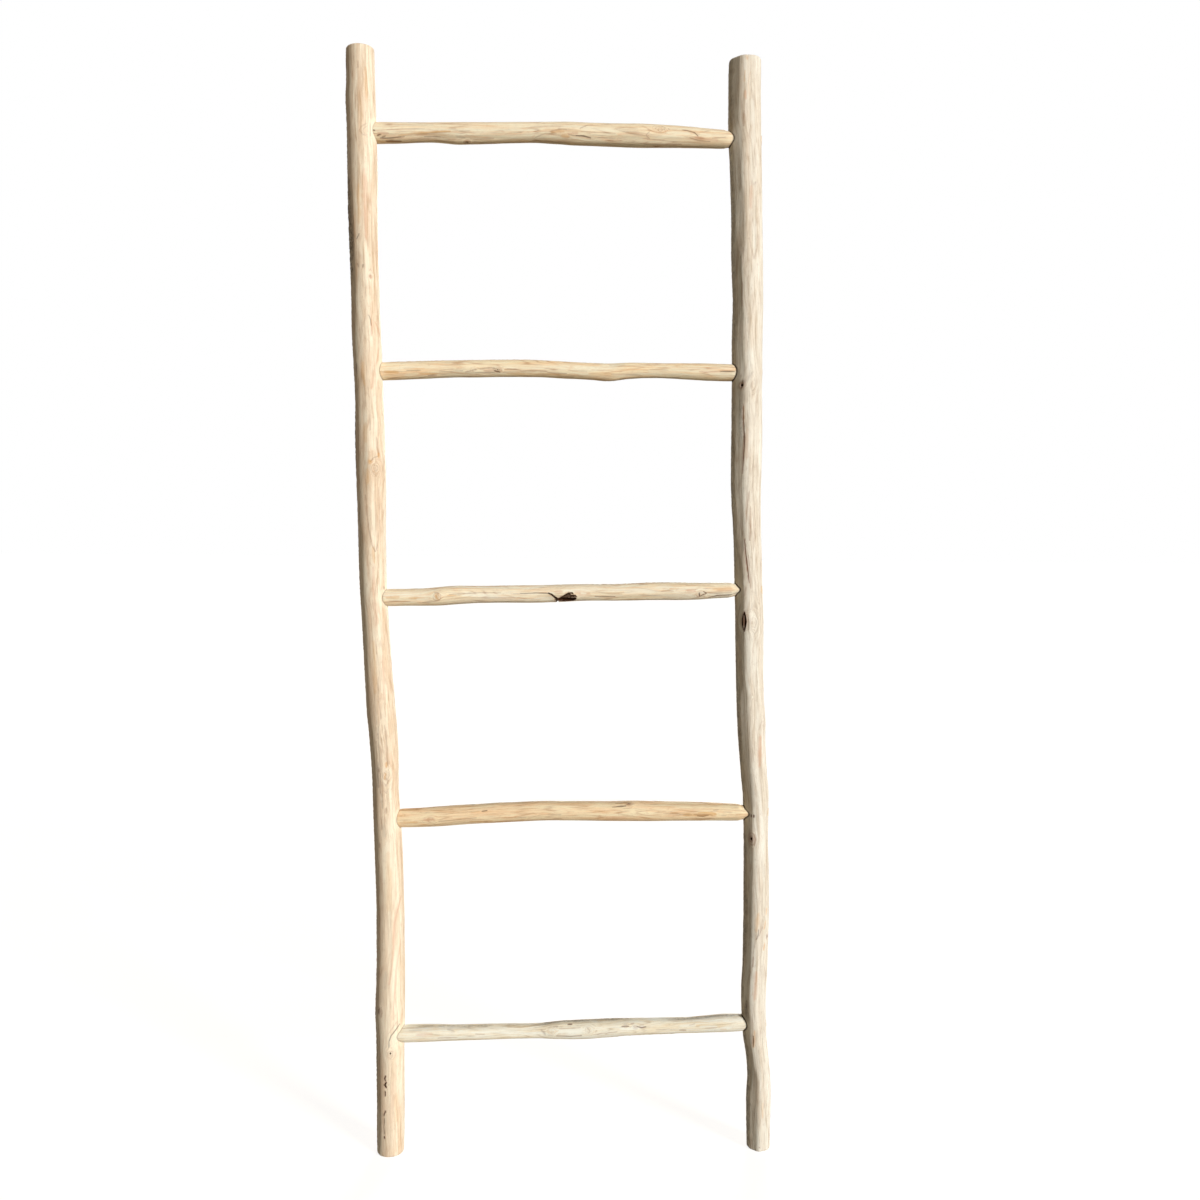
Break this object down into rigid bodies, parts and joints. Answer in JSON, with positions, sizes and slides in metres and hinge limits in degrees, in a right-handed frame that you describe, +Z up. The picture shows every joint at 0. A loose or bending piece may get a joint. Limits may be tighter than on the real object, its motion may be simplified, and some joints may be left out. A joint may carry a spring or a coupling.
{
  "type": "decorative ladder",
  "caption": "Rustic leaning ladder of peeled branches: two bowed uprights with rungs coped and screwed between them, for hanging blankets or towels.",
  "frame": {"origin": "centre of the ladder's width and depth, on the floor under its feet", "axes": "+X to the viewer's right across the width, +Y to the back, +Z up along the uprights"},
  "size_m": [0.5914, 0.0478, 1.5],
  "materials": {
    "left_rail_wood": "peeled and sanded, unfinished, warm cream",
    "right_rail_wood": "peeled and sanded, unfinished, greyish cream",
    "rung_wood": "peeled and sanded, unfinished, tan",
    "pale_rung_wood": "peeled and sanded, unfinished, pale straw",
    "plug_wood": "end grain, sanded flush",
    "screw_steel": "zinc plated"
  },
  "bodies": {
    "root": {"left_rail": "left_rail_wood", "right_rail": "right_rail_wood", "rung_1": "pale_rung_wood", "rung_2": "rung_wood", "rung_3": "rung_wood", "rung_4": "rung_wood", "rung_5": "rung_wood", "rung_screws": "screw_steel", "left_plug_1": "plug_wood", "left_plug_2": "plug_wood", "left_plug_3": "plug_wood", "left_plug_4": "plug_wood", "left_plug_5": "plug_wood", "right_plug_1": "plug_wood", "right_plug_2": "plug_wood", "right_plug_3": "plug_wood", "right_plug_4": "plug_wood", "right_plug_5": "plug_wood"}
  },
  "joints": []
}
